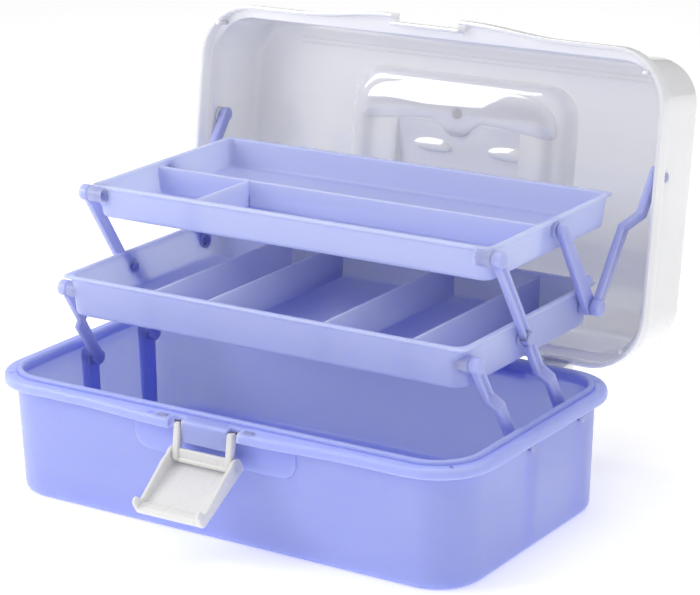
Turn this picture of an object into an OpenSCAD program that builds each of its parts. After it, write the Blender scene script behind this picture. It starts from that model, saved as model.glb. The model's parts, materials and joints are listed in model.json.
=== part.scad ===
// Art supply box: a moulded tub, two cantilever trays on parallel arms, and a clear hinged lid.
// The box is drawn standing open. X runs along its length, the latch is at -Y and the lid hinge
// at +Y. The origin is the middle of the flat underside of the tub.

/* [Tub] */
// Length over the rim flange
box_l = 310; // [290:1:330]
// Width over the rim flange, without the bow at the latch
box_w = 179; // [170:1:190]
// Height of the rim bead above the table
rim_h = 71; // [66:1:80]
// Outside radius of the flange corners
flange_r = 33; // [24:1:40]
// Wall thickness of the tub
tub_wall = 2.6; // [2:0.1:3.2]
// How far the tub wall leans in from rim to foot
tub_draft = 1.8; // [0.5:0.1:3]
// How far the flange bows out at the latch
tub_bow = 4; // [2:0.5:4.5]

/* [Middle tray] */
// Length over the tray lip
mid_l = 260; // [250:1:262]
// Width over the tray lip
mid_w = 142; // [130:1:148]
// Height of the middle tray
mid_h = 23.3; // [18:0.1:24]
// Corner radius of the middle tray
mid_r = 9; // [6:1:20]
// Middle of the tray, front to back, with the box open
mid_y = 26; // [20:0.5:30]

/* [Top tray] */
// Length over the tray lip
top_l = 259; // [250:1:262]
// Width over the tray lip
top_w = 133; // [120:1:140]
// Height of the top tray
top_h = 19.1; // [15:0.1:20]
// Corner radius of the top tray
top_r = 6; // [4:1:14]
// Middle of the tray, front to back, with the box open
top_y = 49.5; // [44:0.5:52]
// Front to back place of the long partition, from the tray's middle
top_part_y = -8.5; // [-15:0.5:15]

/* [Arms] */
// Pivot to pivot length of one step of the parallel arms
arm_step = 59; // [50:0.5:62]
// Elevation of the arms with the box open
arm_open = 58.3; // [50:0.1:62]
// Height of the arm pivots in the tub
pivot_z = 59; // [55:0.5:61]
// Front to back place of the front pivot in the tub
pivot_front_y = -7; // [-12:0.5:0]
// Front to back place of the rear pivot in the tub
pivot_rear_y = 46.2; // [40:0.1:50]
// Width of an arm
arm_w = 7; // [5:0.5:9]
// Thickness of an arm
arm_t = 4.2; // [3:0.1:4.4]
// Radius of the pivot studs
stud_r = 2.25; // [1.5:0.05:3]
// Radial clearance of a stud in its hole
fit_gap = 0.05; // [0.02:0.01:0.1]

/* [Lid] */
// Opening angle of the lid
lid_open = 99; // [85:1:105]
// Height of the closed lid above the table
closed_h = 126; // [122:1:135]
// Wall thickness of the lid
lid_wall = 2.4; // [1.8:0.1:3]
// How far the lid flange bows out at the latch
lid_bow = 4.5; // [0:0.5:6]
// Width of the latch notch in the lid flange
notch_w = 45.2; // [44:0.2:50]
// Depth of the handle recess
recess_d = 6.8; // [5:0.1:8]

/* [Latch and handle] */
// Width of the latch lever
lever_w = 43; // [38:0.5:44]
// Length of the latch lever from its pivot to its lip
lever_l = 38; // [36:0.5:40]
// How far the open lever points below level
lever_drop = 30; // [20:1:40]
// Span of the carry handle between its pivots
handle_span = 132; // [120:1:136]
// Reach of the carry handle from its pivots to its grip
handle_reach = 62; // [50:1:64]

/* [Hidden] */

periwinkle = [0.66, 0.69, 0.95];
milky = [0.9, 0.9, 0.92, 0.6];
white = [0.95, 0.94, 0.92];
steel = [0.7, 0.7, 0.72];
arc_steps = 7;
eps = 0.01;
// Gap left between faces that slide past each other
slide_gap = 0.3;

// Rim of the tub
bead_w = 3.2;
bead_in_l = box_l - 21;
bead_in_w = box_w - 21.5;
bead_r = flange_r - 10.6;
flange_top = rim_h - 2;
flange_t = 2.5;
skirt_h = 5.6;
skirt_t = 1.8;
tub_l = bead_in_l + 8;
tub_w = bead_in_w + 8;
tub_r = bead_r + 4;
foot_round = 4;

// Lid, in the closed position
lid_gap = 1.2;
lid_z = flange_top + lid_gap;
lid_band_h = 10;
lid_body_l = box_l - 7;
lid_body_w = box_w - 11;
lid_body_r = 27;
lid_edge = 5;
lid_draft = 1.2;
hinge_y = 93.5;
hinge_z = 63.5;
knuckle_r = 3.6;
hinge_pin_r = 1.9;
hinge_x = 84;
hinge_half = 28;
knuckle_half = 11;
recess_z = closed_h - recess_d;
recess_front = -58;
recess_back = 30;
recess_half = 76;
island_left = -43.4;
island_right = 45.4;

// Pivot stations. Each is [front to back, height] with the box open.
arm_vec = [-arm_step * cos(arm_open), arm_step * sin(arm_open)];
base_front = [pivot_front_y, pivot_z];
base_rear = [pivot_rear_y, pivot_z];
mid_front = base_front + arm_vec;
mid_mid = base_rear + arm_vec;
mid_rear = [83.4, 108.4];
top_front = base_rear + 2 * arm_vec;
top_rear = mid_rear + arm_vec;
// The lid arm's pivot, with the lid closed and then with it open
lid_pivot_closed = [-20, 86.37];
lid_pivot = swing(lid_pivot_closed, -lid_open);
mid_bottom = mid_front[1] - 13.5;
top_bottom = top_front[1] - 13.5;

// Planes of the arms, as distances from the middle of the box
plane_in = 130.6;
plane_out = 135.3;
lid_plane_in = plane_in + arm_t + 0.5;
lid_plane_out = 143.1;
tub_face = plane_out + arm_t + 0.4;
boss_r = 5.2;
head_r = 2.9;

// Latch. The link hangs from the rim and the lever turns on its lower end.
link_pivot = [-90.4, 66];
lever_pivot = [-92.6, 48.9];
link_x = 15.1;
link_t = 3.9;
link_pin_r = 1.5;
tongue_half = 14.5;
tongue_bottom = 56.5;
tongue_front = -91.7;
rim_notch_half = 22.6;

// Pegs of the lid, as distances from the middle of each flange corner
peg_r = 1.1;
peg_at = flange_r - 4;

// Carry handle, in the closed position
handle_y = 14;
handle_z = recess_z + 3.6;
handle_t = 5.6;
handle_pin_r = 2.2;

// A point turned about the lid hinge
function swing(p, a) = [
    hinge_y + (p[0] - hinge_y) * cos(a) - (p[1] - hinge_z) * sin(a),
    hinge_z + (p[0] - hinge_y) * sin(a) + (p[1] - hinge_z) * cos(a)];

// Rounded rectangle, counter-clockwise from its front right corner
function corner(cx, cy, r, a0) = [for (i = [0:arc_steps])
    [cx + r * cos(a0 + 90 * i / arc_steps), cy + r * sin(a0 + 90 * i / arc_steps)]];
function rounded(l, w, r) = concat(
    corner(l / 2 - r, -w / 2 + r, r, -90),
    corner(l / 2 - r, w / 2 - r, r, 0),
    corner(-l / 2 + r, w / 2 - r, r, 90),
    corner(-l / 2 + r, -w / 2 + r, r, 180));

// Front edge of a bowed flange, from left to right: 1 at the latch, easing to 0 at bow_reach
bow_reach = 88;
bow_start = 24;
bow_steps = 8;
function ease(t) = (1 - cos(180 * t)) / 2;
function bow_line(w, bow) = concat(
    [for (i = [0:bow_steps]) let(t = i / bow_steps)
        [-bow_reach + (bow_reach - bow_start) * t, -w / 2 - bow * ease(t)]],
    [for (i = [0:bow_steps]) let(t = i / bow_steps)
        [bow_start + (bow_reach - bow_start) * t, -w / 2 - bow * ease(1 - t)]]);
function bowed(l, w, r, bow) = concat(rounded(l, w, r), bow_line(w, bow));

// A convex moulded body: one rounded slab per [height, length, width, corner radius]
module moulded(sections) {
    hull()
        for (s = sections)
            translate([0, 0, s[0]])
                linear_extrude(eps)
                    polygon(rounded(s[1], s[2], s[3]));
}

// Rod along X from x0 to x1 at [front to back, height]
module rod(p, r, x0, x1, fn = 48) {
    translate([x0, p[0], p[1]])
        rotate([0, 90, 0])
            cylinder(r = r, h = x1 - x0, $fn = fn);
}

// Mirror image pair about the middle of the box
module both_sides() {
    children();
    mirror([1, 0, 0])
        children();
}

// ---- Tub ----

module tub_body() {
    foot_l = tub_l - 2 * tub_draft;
    foot_w = tub_w - 2 * tub_draft;
    moulded([
        [0, foot_l - 2 * foot_round, foot_w - 2 * foot_round, tub_r - foot_round],
        [1.2, foot_l - foot_round * 0.6, foot_w - foot_round * 0.6, tub_r - 1.5],
        [foot_round, foot_l, foot_w, tub_r],
        [flange_top - eps, tub_l, tub_w, tub_r]]);
}

module tub_cavity() {
    t = 2 * tub_wall;
    foot_l = tub_l - 2 * tub_draft - t;
    foot_w = tub_w - 2 * tub_draft - t;
    moulded([
        [tub_wall, foot_l - foot_round, foot_w - foot_round, tub_r - 4],
        [tub_wall + foot_round, foot_l, foot_w, tub_r - 2],
        [rim_h + 1, tub_l - t, tub_w - t, tub_r - 2]]);
}

module tub_rim() {
    difference() {
        union() {
            translate([0, 0, flange_top - flange_t])
                linear_extrude(flange_t)
                    polygon(bowed(box_l, box_w, flange_r, tub_bow));
            translate([0, 0, flange_top - skirt_h])
                linear_extrude(skirt_h)
                    difference() {
                        polygon(bowed(box_l, box_w, flange_r, tub_bow));
                        polygon(bowed(box_l - 2 * skirt_t, box_w - 2 * skirt_t,
                            flange_r - skirt_t, tub_bow));
                    }
            linear_extrude(rim_h)
                intersection() {
                    polygon(rounded(bead_in_l + 2 * bead_w, bead_in_w + 2 * bead_w,
                        bead_r + bead_w));
                    translate([-box_l / 2, -box_w / 2])
                        square([box_l, box_w]);
                }
        }
        translate([0, 0, -eps])
            linear_extrude(flange_top - flange_t - 1)
                square([box_l - 2 * skirt_t - eps, box_w * 3], center = true);
        translate([0, 0, -1])
            linear_extrude(rim_h + 2)
                polygon(rounded(bead_in_l, bead_in_w, bead_r));
    }
}

// A post under each arm pivot of an end wall
module tub_pivots() {
    outer = tub_l / 2 - tub_draft - 0.4;
    for (p = [base_front, base_rear]) {
        rod(p, boss_r, tub_face, outer);
        translate([tub_face, p[0] - boss_r, tub_wall - 1])
            cube([outer - tub_face, 2 * boss_r, p[1] - tub_wall + 1]);
    }
}

module latch_pad() {
    translate([0, -tub_w / 2 + 1, 0])
        rotate([90, 0, 0])
            linear_extrude(2.6)
                polygon([for (p = rounded(104, 24, 9)) [p[0], p[1] + 57]]);
}

module base_knuckles() {
    both_sides() {
        rod([hinge_y, hinge_z], knuckle_r, hinge_x - knuckle_half, hinge_x + knuckle_half);
        translate([hinge_x - knuckle_half, tub_w / 2 - 1.5, hinge_z - knuckle_r])
            cube([2 * knuckle_half, hinge_y - tub_w / 2 + 1.5, 5]);
    }
}

// A hole for a lid peg at each corner of the flange, with a narrow slot leading in to it
module rim_slots() {
    depth = flange_t + 2;
    for (sx = [-1, 1], sy = [-1, 1])
        translate([sx * (box_l / 2 - flange_r), sy * (box_w / 2 - flange_r),
            flange_top - flange_t - 1])
            rotate([0, 0, atan2(sy, sx)]) {
                translate([peg_at, 0, 0])
                    cylinder(r = peg_r + 0.5, h = depth, $fn = 24);
                translate([peg_at - 3.2, -0.6, 0])
                    cube([3.2, 1.2, depth]);
            }
}

module base_tub() {
    color(periwinkle)
        difference() {
            union() {
                difference() {
                    tub_body();
                    tub_cavity();
                }
                tub_rim();
                both_sides()
                    tub_pivots();
                difference() {
                    latch_pad();
                    tub_cavity();
                }
                base_knuckles();
                translate([-tongue_half, tongue_front, tongue_bottom])
                    cube([2 * tongue_half, 2, flange_top - tongue_bottom]);
                both_sides()
                    rod(link_pivot, link_pin_r, tongue_half - 1, link_x + link_t + 0.1);
            }
            both_sides() {
                rod(base_front, stud_r + fit_gap, tub_face - 1, box_l / 2);
                rod(base_rear, stud_r + fit_gap, tub_face - 1, box_l / 2);
                rod([hinge_y, hinge_z], hinge_pin_r + fit_gap,
                    hinge_x - knuckle_half - 1, hinge_x + knuckle_half + 1);
                difference() {
                    translate([tongue_half, -box_w, flange_top - skirt_h - 1])
                        cube([rim_notch_half - tongue_half, box_w - 86.6, skirt_h + 2]);
                    rod(link_pivot, link_pin_r, tongue_half - 1, link_x + link_t + 0.1);
                }
            }
            rim_slots();
            translate([-tongue_half, -box_w, flange_top - skirt_h - 1])
                cube([2 * tongue_half, box_w + tongue_front, skirt_h + 2]);
        }
}

// ---- Trays ----

// An open tray with a lip. Its floor is at z = 0 and its middle at the origin.
module tray_shell(l, w, h, r, wall, draft, lip) {
    difference() {
        union() {
            moulded([
                [0, l - 2 * (draft + lip + 0.8), w - 2 * (draft + lip + 0.8), r - 0.8],
                [1, l - 2 * (draft + lip), w - 2 * (draft + lip), r],
                [h - eps, l - 2 * lip, w - 2 * lip, r]]);
            translate([0, 0, h - 1.6])
                linear_extrude(1.6)
                    polygon(rounded(l, w, lip_r));
        }
        moulded([
            [wall, l - 2 * (draft + lip + wall + 0.8), w - 2 * (draft + lip + wall + 0.8),
                max(r - wall - 0.8, 2)],
            [wall + 1, l - 2 * (draft + lip + wall), w - 2 * (draft + lip + wall),
                max(r - wall, 2)],
            [h + 1, l - 2 * (lip + wall), w - 2 * (lip + wall), max(r - wall, 2)]]);
    }
}

tray_wall = 1.9;
tray_lip = 1.2;
lip_r = 2.5;
mid_draft = 1.6;
top_draft = 1.8;
partition_t = 1.6;
// Places of the middle tray's partitions along the box
mid_parts = [-70, -34, 41, 96];
top_cross_x = -62;

// Studs reach this far in from the arms' inner plane, and each head lies in a pocket
stud_in_l = 6.4;
head_t = 1.2;
pocket_x = plane_in - stud_in_l + head_t + slide_gap;
// The front pivots stand at rounded corners, so their bosses start further in
corner_boss_x = 120;
tray_boss_r = 4.6;

// Boss on each end wall of a tray and the hole for its stud
module tray_bosses(pivots, x0) {
    for (i = [0:len(pivots) - 1])
        rod(pivots[i], tray_boss_r, i == 0 ? corner_boss_x : x0, plane_in - slide_gap);
}

module tray_holes(pivots) {
    for (p = pivots) {
        rod(p, stud_r + fit_gap, plane_in - 8, plane_in);
        rod(p, head_r + 0.5, corner_boss_x - 1, pocket_x);
    }
}

module partition(x0, x1, y0, y1, h) {
    translate([x0, y0, tray_wall - 0.2])
        cube([x1 - x0, y1 - y0, h - tray_wall + 0.2]);
}

module middle_tray() {
    pivots = [mid_front, mid_mid, mid_rear];
    inner_l = mid_l / 2 - tray_lip - tray_wall;
    inner_w = mid_w / 2 - tray_lip - tray_wall;
    color(periwinkle)
        difference() {
            union() {
                translate([0, mid_y, mid_bottom]) {
                    tray_shell(mid_l, mid_w, mid_h, mid_r, tray_wall, mid_draft, tray_lip);
                    intersection() {
                        union()
                            for (x = mid_parts)
                                partition(x - partition_t / 2, x + partition_t / 2,
                                    -inner_w - 1, inner_w + 1, mid_h - 1.2);
                        moulded([
                            [0, mid_l - 8, mid_w - 8, mid_r - 2],
                            [mid_h, mid_l - 5, mid_w - 5, mid_r - 2]]);
                    }
                }
                both_sides()
                    tray_bosses(pivots, inner_l - 0.3);
            }
            both_sides()
                tray_holes(pivots);
        }
}

module top_tray() {
    pivots = [top_front, top_rear];
    inner_l = top_l / 2 - tray_lip - tray_wall;
    inner_w = top_w / 2 - tray_lip - tray_wall;
    part_t = partition_t / 2;
    color(periwinkle)
        difference() {
            union() {
                translate([0, top_y, top_bottom]) {
                    tray_shell(top_l, top_w, top_h, top_r, tray_wall, top_draft, tray_lip);
                    intersection() {
                        union() {
                            partition(-inner_l - 1, inner_l + 1,
                                top_part_y - part_t, top_part_y + part_t, top_h - 1.5);
                            partition(top_cross_x - part_t, top_cross_x + part_t,
                                -inner_w - 1, top_part_y, top_h - 1.5);
                        }
                        moulded([
                            [0, top_l - 8, top_w - 8, top_r - 2],
                            [top_h, top_l - 5, top_w - 5, top_r - 2]]);
                    }
                }
                both_sides()
                    tray_bosses(pivots, inner_l - 0.3);
            }
            both_sides()
                tray_holes(pivots);
        }
}

// ---- Arms ----
// Each arm is drawn for the right side, along +Y from its lower pivot, then turned into place.

module place_arm(p, angle) {
    translate([0, p[0], p[1]])
        rotate([angle, 0, 0])
            children();
}

// Bar that lies in plane xa up to ua, slopes across, and lies in plane xb from ub to its end
module jogged_bar(xa, ua, xb, ub, length) {
    translate([0, 0, -arm_w / 2])
        linear_extrude(arm_w)
            polygon([
                [xa, 0], [xa + arm_t, 0], [xa + arm_t, ua], [xb + arm_t, ub],
                [xb + arm_t, length], [xb, length], [xb, ub], [xa, ua]]);
}

// Stud that points inward through a tray wall, with its snap head
module stud_in(u) {
    rod([u, 0], stud_r, plane_in - stud_in_l, plane_in + 1);
    rod([u, 0], head_r, plane_in - stud_in_l, plane_in - stud_in_l + head_t);
}

// Stud that points outward through the tub or lid wall, with its snap head
module stud_out(u, x0, x1) {
    rod([u, 0], stud_r, x0 - 1, x1);
    rod([u, 0], head_r, x1 - head_t, x1);
}

// Round cap over a pivot on the outer face of an arm
module cap(u, r, x0, h) {
    rod([u, 0], r, x0, x0 + h);
}

// Lower part of the arms that stand in the tub: outer plane, jog, then the inner plane
jog_a = 28.3;
jog_b = 34.7;
groove_w = 2.4;
groove_d = 1.5;

module tub_arm(length, caps) {
    difference() {
        union() {
            jogged_bar(plane_out, jog_a, plane_in, jog_b, length);
            cap(0, arm_w / 2 + 0.8, plane_out, arm_t);
            for (c = caps)
                cap(c[0], c[1], plane_in, c[2]);
            stud_out(0, plane_out + arm_t, tub_l / 2 + 1.8);
            for (c = caps)
                stud_in(c[0]);
        }
        for (i = [0:len(caps) - 1]) {
            from = i == 0 ? jog_b + 1 : caps[i - 1][0] + caps[i - 1][1];
            to = caps[i][0] - caps[i][1];
            translate([plane_in + arm_t - groove_d, from, -groove_w / 2])
                cube([groove_d + 1, to - from, groove_w]);
        }
    }
}

module short_arm() {
    place_arm(base_front, 180 - arm_open)
        tub_arm(arm_step, [[arm_step, 4.7, arm_t + 2.6]]);
}

module long_arm() {
    place_arm(base_rear, 180 - arm_open)
        tub_arm(2 * arm_step,
            [[arm_step, arm_w / 2 + 0.5, arm_t + 1], [2 * arm_step, 4.7, arm_t + 2.6]]);
}

// Small finger on the rear edge of the top arm
nub_u = 13;

module top_arm() {
    place_arm(mid_rear, 180 - arm_open) {
        hull() {
            cap(0, 4.9, plane_in, arm_t);
            cap(arm_step, 3.6, plane_in, arm_t);
        }
        translate([plane_in + 1, nub_u, -8.5])
            cube([arm_t - 1, 4.5, 7]);
        stud_in(0);
        stud_in(arm_step);
    }
}

// The lid arm hangs from the lid and reaches down to the rear pivot of the middle tray.
module lid_arm() {
    way = lid_pivot - mid_rear;
    reach = norm(way);
    place_arm(mid_rear, atan2(way[1], way[0])) {
        cap(0, 4.6, lid_plane_in, 5.6);
        jogged_bar(lid_plane_in, 0.6 * reach, lid_plane_out, 0.71 * reach, reach + 1.5);
        cap(reach + 1.5, arm_w / 2 + 0.6, lid_plane_out, arm_t);
        stud_out(reach, lid_plane_out + arm_t, lid_body_l / 2 + 1.9);
    }
}

// ---- Lid ----

module at_lid() {
    translate([0, hinge_y, hinge_z])
        rotate([-lid_open, 0, 0])
            translate([0, -hinge_y, -hinge_z])
                children();
}

module lid_body(inset) {
    d = 2 * inset;
    moulded([
        [inset > 0 ? lid_z - 1 : lid_z, lid_body_l - d, lid_body_w - d, lid_body_r - inset],
        [closed_h - lid_edge, lid_body_l - 2 * lid_draft - d,
            lid_body_w - 2 * lid_draft - d, lid_body_r - inset],
        [closed_h - 1.2 - inset, lid_body_l - 2 * lid_draft - lid_edge * 0.8 - d,
            lid_body_w - 2 * lid_draft - lid_edge * 0.8 - d, lid_body_r - 2 - inset],
        [closed_h - eps - inset, lid_body_l - 2 * lid_draft - 2 * lid_edge - d,
            lid_body_w - 2 * lid_draft - 2 * lid_edge - d, lid_body_r - lid_edge - inset]]);
}

module lid_band() {
    t = 2 * lid_wall;
    translate([0, 0, lid_z])
        difference() {
            linear_extrude(lid_band_h)
                polygon(bowed(box_l, box_w, flange_r, lid_bow));
            translate([0, 0, -1])
                linear_extrude(lid_band_h - lid_wall + 1)
                    difference() {
                        polygon(bowed(box_l - t, box_w - t, flange_r - lid_wall, lid_bow));
                        translate([0, -box_w / 2 - 3])
                            square([notch_w + t, 2 * (3 + lid_wall + 0.4)], center = true);
                    }
            translate([-notch_w / 2, -box_w, -1])
                cube([notch_w, box_w / 2 + 0.2, lid_band_h + 2]);
        }
}

// The sunk panel that the handle folds into, seen from inside as a raised panel
module recess_block(grow, low, high) {
    l = 2 * (recess_half + grow);
    w = recess_back - recess_front + 2 * grow;
    translate([0, (recess_front + recess_back) / 2, 0])
        moulded([
            [low, l - 12, w - 8, 16],
            [high, l, w, 20]]);
}

// The floor of the recess rises in its middle to meet the top of the lid. inset is the wall
// that is left between its two faces.
module island(inset, below) {
    top = closed_h - 0.1 - inset;
    floor_z = recess_z - inset;
    slope = 0.21;
    start = recess_front + 25 + inset * 0.9;
    translate([island_left + inset, 0, 0])
        rotate([90, 0, 90])
            linear_extrude(island_right - island_left - 2 * inset)
                polygon([
                    [start, floor_z - below], [start, floor_z],
                    [start + (top - floor_z) / slope, top],
                    [recess_back + 3 - inset, top], [recess_back + 3 - inset, floor_z - below]]);
}

module lid_knuckles() {
    both_sides()
        for (x0 = [hinge_x - hinge_half, hinge_x + knuckle_half + 0.4]) {
            width = hinge_half - knuckle_half - 0.4;
            rod([hinge_y, hinge_z], knuckle_r, x0, x0 + width);
            translate([x0, 0, 0])
                rotate([90, 0, 90])
                    linear_extrude(width)
                        polygon([
                            [box_w / 2 - 1, lid_z], [box_w / 2 + 0.5, lid_z],
                            [box_w / 2 + 0.5, hinge_z], [hinge_y + knuckle_r, hinge_z],
                            [hinge_y + knuckle_r, lid_z], [box_w / 2 + 0.5, lid_z + 8],
                            [box_w / 2 - 1, lid_z + 8]]);
        }
}

module lid_pegs() {
    at = peg_at * cos(45);
    for (sx = [-1, 1], sy = [-1, 1])
        translate([sx * (box_l / 2 - flange_r + at),
            sy * (box_w / 2 - flange_r + at), lid_z - 2.4])
            cylinder(r = peg_r, h = lid_band_h, $fn = 24);
}

module handle_lugs() {
    both_sides()
        translate([handle_span / 2 + 0.4, handle_y - 5, recess_z - 1])
            cube([4, 10, handle_z + 2.8 - recess_z + 1]);
}

module lid_shell() {
    color(milky)
        at_lid()
            difference() {
                union() {
                    difference() {
                        union() {
                            difference() {
                                lid_body(0);
                                lid_body(lid_wall);
                            }
                            lid_band();
                            recess_block(2, recess_z - lid_wall, closed_h - lid_wall);
                        }
                        difference() {
                            recess_block(0, recess_z, closed_h + 0.2);
                            island(0, 1);
                        }
                        island(lid_wall, lid_wall);
                        translate([0, 0, lid_z - 1])
                            linear_extrude(lid_band_h + 2)
                                polygon(rounded(lid_body_l - 2 * lid_wall,
                                    lid_body_w - 2 * lid_wall, lid_body_r - lid_wall));
                        translate([0, 0, lid_z - 1])
                            linear_extrude(rim_h - lid_z + 1.6)
                                polygon(rounded(bead_in_l + 2 * bead_w + 0.8,
                                    bead_in_w + 2 * bead_w + 0.8, bead_r + bead_w));
                    }
                    lid_knuckles();
                    lid_pegs();
                    handle_lugs();
                    both_sides()
                        rod(lid_pivot_closed, boss_r, lid_plane_out + arm_t + slide_gap,
                            lid_body_l / 2 - 1);
                }
                both_sides() {
                    rod(lid_pivot_closed, stud_r + fit_gap, lid_plane_out, box_l / 2);
                    rod([hinge_y, hinge_z], hinge_pin_r + fit_gap,
                        hinge_x - hinge_half - 1, hinge_x + hinge_half + 1);
                    rod([handle_y, handle_z], handle_pin_r + fit_gap,
                        handle_span / 2 - 1, handle_span / 2 + 5);
                }
            }
}

module hinge_pin() {
    rod([hinge_y, hinge_z], hinge_pin_r, hinge_x - hinge_half, hinge_x + hinge_half);
}

// ---- Carry handle ----

module carry_handle() {
    outer_l = handle_span;
    grip = 13;
    arm = 9;
    color(white)
        at_lid()
            union() {
                translate([0, handle_y, handle_z - handle_t / 2])
                    linear_extrude(handle_t)
                        difference() {
                            polygon(concat(
                                [[outer_l / 2, 0], [outer_l / 2 - arm, 0]],
                                [[-outer_l / 2 + arm, 0], [-outer_l / 2, 0]],
                                corner(-outer_l / 2 + 22, -handle_reach + 22, 22, 180),
                                corner(outer_l / 2 - 22, -handle_reach + 22, 22, -90)));
                            polygon(concat(
                                [[outer_l / 2 - arm, 6], [-outer_l / 2 + arm, 6]],
                                corner(-outer_l / 2 + arm + 12, -handle_reach + grip + 12,
                                    12, 180),
                                corner(outer_l / 2 - arm - 12, -handle_reach + grip + 12,
                                    12, -90)));
                        }
                both_sides() {
                    rod([handle_y, handle_z], handle_t / 2, outer_l / 2 - arm, outer_l / 2);
                    rod([handle_y, handle_z], handle_pin_r, outer_l / 2 - 1, outer_l / 2 + 4);
                }
            }
}

// ---- Latch ----

module latch_link() {
    fall = link_pivot[1] - lever_pivot[1];
    color(white)
        difference() {
            union() {
                both_sides() {
                    rod(link_pivot, 3, link_x, link_x + link_t);
                    translate([link_x, lever_pivot[0] - 2, lever_pivot[1]])
                        cube([link_t, 4, fall]);
                    rod(lever_pivot, 2.8, link_x, link_x + link_t);
                    rod(lever_pivot, link_pin_r, link_x + 1, lever_w / 2 - 0.6);
                }
                translate([-link_x - 1, lever_pivot[0] - 1.2, lever_pivot[1] - 2.4])
                    cube([2 * link_x + 2, 2.4, 7.4]);
            }
            both_sides()
                rod(link_pivot, link_pin_r + fit_gap, link_x - 1, link_x + link_t + 1);
        }
}

// The lever is drawn lying along +Y from its pivot with its hollow side up.
module latch_lever() {
    plate_t = 2.2;
    wall_t = 2.2;
    low = -5.5;
    heel = -6;
    half = lever_w / 2;
    color(white)
        translate([0, lever_pivot[0], lever_pivot[1]])
            rotate([180 + lever_drop, 0, 0])
                mirror([0, 0, 1])
                    difference() {
                        union() {
                            translate([-half, heel + 2, low])
                                cube([lever_w, lever_l - heel - 2, plate_t]);
                            both_sides()
                                translate([half - wall_t, 0, 0])
                                    rotate([90, 0, 90])
                                        linear_extrude(wall_t)
                                            polygon([
                                                [heel, low + 3], [heel + 2, low],
                                                [lever_l, low], [lever_l, 4.4],
                                                [lever_l - 3, 5.5], [lever_l - 5.5, 1],
                                                [lever_l - 8, 0.4], [6, 4.4], [2, 5],
                                                [heel + 3, 4.4], [heel, 0]]);
                            translate([-half, lever_l - 7, low])
                                cube([lever_w, 7, -low]);
                        }
                        both_sides()
                            rod([0, 0], link_pin_r + fit_gap, link_x, half - 0.5);
                    }
}

base_tub();
middle_tray();
top_tray();
lid_shell();
carry_handle();
color(steel) mirror([1, 0, 0]) hinge_pin();  // hinge_pin_left
color(steel) hinge_pin();  // hinge_pin_right
latch_link();
latch_lever();
color(periwinkle) mirror([1, 0, 0]) short_arm();  // short_arm_left
color(periwinkle) short_arm();  // short_arm_right
color(periwinkle) mirror([1, 0, 0]) long_arm();  // long_arm_left
color(periwinkle) long_arm();  // long_arm_right
color(periwinkle) mirror([1, 0, 0]) top_arm();  // top_arm_left
color(periwinkle) top_arm();  // top_arm_right
color(periwinkle) mirror([1, 0, 0]) lid_arm();  // lid_arm_left
color(periwinkle) lid_arm();  // lid_arm_right
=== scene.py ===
"""Looks of the art supply box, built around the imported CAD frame.

Every length below is in millimetres, in the row's frame, and becomes metres where a mesh is made.
The lid and the carry handle are drawn as they lie on the closed box, then turned open.
"""

import json
import math

import bmesh
import bpy
from mathutils import Matrix, Vector


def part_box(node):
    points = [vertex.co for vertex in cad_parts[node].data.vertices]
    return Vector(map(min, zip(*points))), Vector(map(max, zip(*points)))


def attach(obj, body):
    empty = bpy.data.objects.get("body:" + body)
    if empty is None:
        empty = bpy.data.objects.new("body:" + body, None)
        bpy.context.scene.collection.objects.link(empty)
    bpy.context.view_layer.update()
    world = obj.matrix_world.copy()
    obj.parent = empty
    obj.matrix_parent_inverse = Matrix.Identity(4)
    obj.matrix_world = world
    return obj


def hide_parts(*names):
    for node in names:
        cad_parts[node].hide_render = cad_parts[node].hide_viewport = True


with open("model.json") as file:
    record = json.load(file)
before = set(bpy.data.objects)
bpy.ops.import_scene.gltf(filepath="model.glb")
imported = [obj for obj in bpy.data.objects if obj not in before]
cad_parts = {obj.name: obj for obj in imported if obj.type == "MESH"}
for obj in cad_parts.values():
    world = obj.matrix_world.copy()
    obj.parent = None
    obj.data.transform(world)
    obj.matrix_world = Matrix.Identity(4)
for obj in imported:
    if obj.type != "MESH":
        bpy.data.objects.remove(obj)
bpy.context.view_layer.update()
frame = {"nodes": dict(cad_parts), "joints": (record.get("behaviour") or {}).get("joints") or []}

MM = 0.001
ARC = 10
EPS = 0.02


# ---------------------------------------------------------------- frame

def node_box(node):
    """Lowest and highest corner of a CAD node, in millimetres."""
    low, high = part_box(node)
    return low / MM, high / MM


def pivot(joint):
    """Place of a hinge as (front to back, height), in millimetres."""
    found = next(j for j in frame["joints"] if j["name"] == joint)
    return Vector((found["pos_m"][1] / MM, found["pos_m"][2] / MM))


def joint_range(joint):
    """Lowest and highest angle of a hinge, in degrees."""
    return next(j for j in frame["joints"] if j["name"] == joint)["range_deg"]


# Arms: planes as distances from the middle of the box, then thickness, width, studs and bores
PLANE_IN = 130.6
PLANE_OUT = 135.3
LID_PLANE_IN = 135.3
LID_PLANE_OUT = 143.1
ARM_T = 4.2
ARM_W = 7.0
STUD_R = 2.25
HEAD_R = 2.9
STUD_IN = 6.4
TUB_STUD_OUT = 1.8
LID_STUD_OUT = 1.9
HEAD_T = 1.2
SLIDE_GAP = 0.3
POCKET_X = PLANE_IN - STUD_IN + HEAD_T + SLIDE_GAP
BORE_R = 2.3
PIVOT_BOSS_R = 5.2

# Knuckles of the lid's hinge
KNUCKLE_R = 3.6
HINGE_BORE_R = 1.95

# Pivots, from the frame
LID_OPEN = joint_range("lid_hinge")[1]
HINGE = pivot("lid_hinge")
BASE_FRONT = pivot("short_arms_hinge")
BASE_REAR = pivot("long_arms_hinge")
MID_MID = pivot("middle_tray_hinge")
TOP_FRONT = pivot("top_tray_hinge")
MID_REAR = pivot("top_arms_hinge")
LID_PIVOT = pivot("lid_arms_hinge")
STEP = MID_MID - BASE_REAR
MID_FRONT = BASE_FRONT + STEP
TOP_REAR = MID_REAR + STEP


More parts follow.
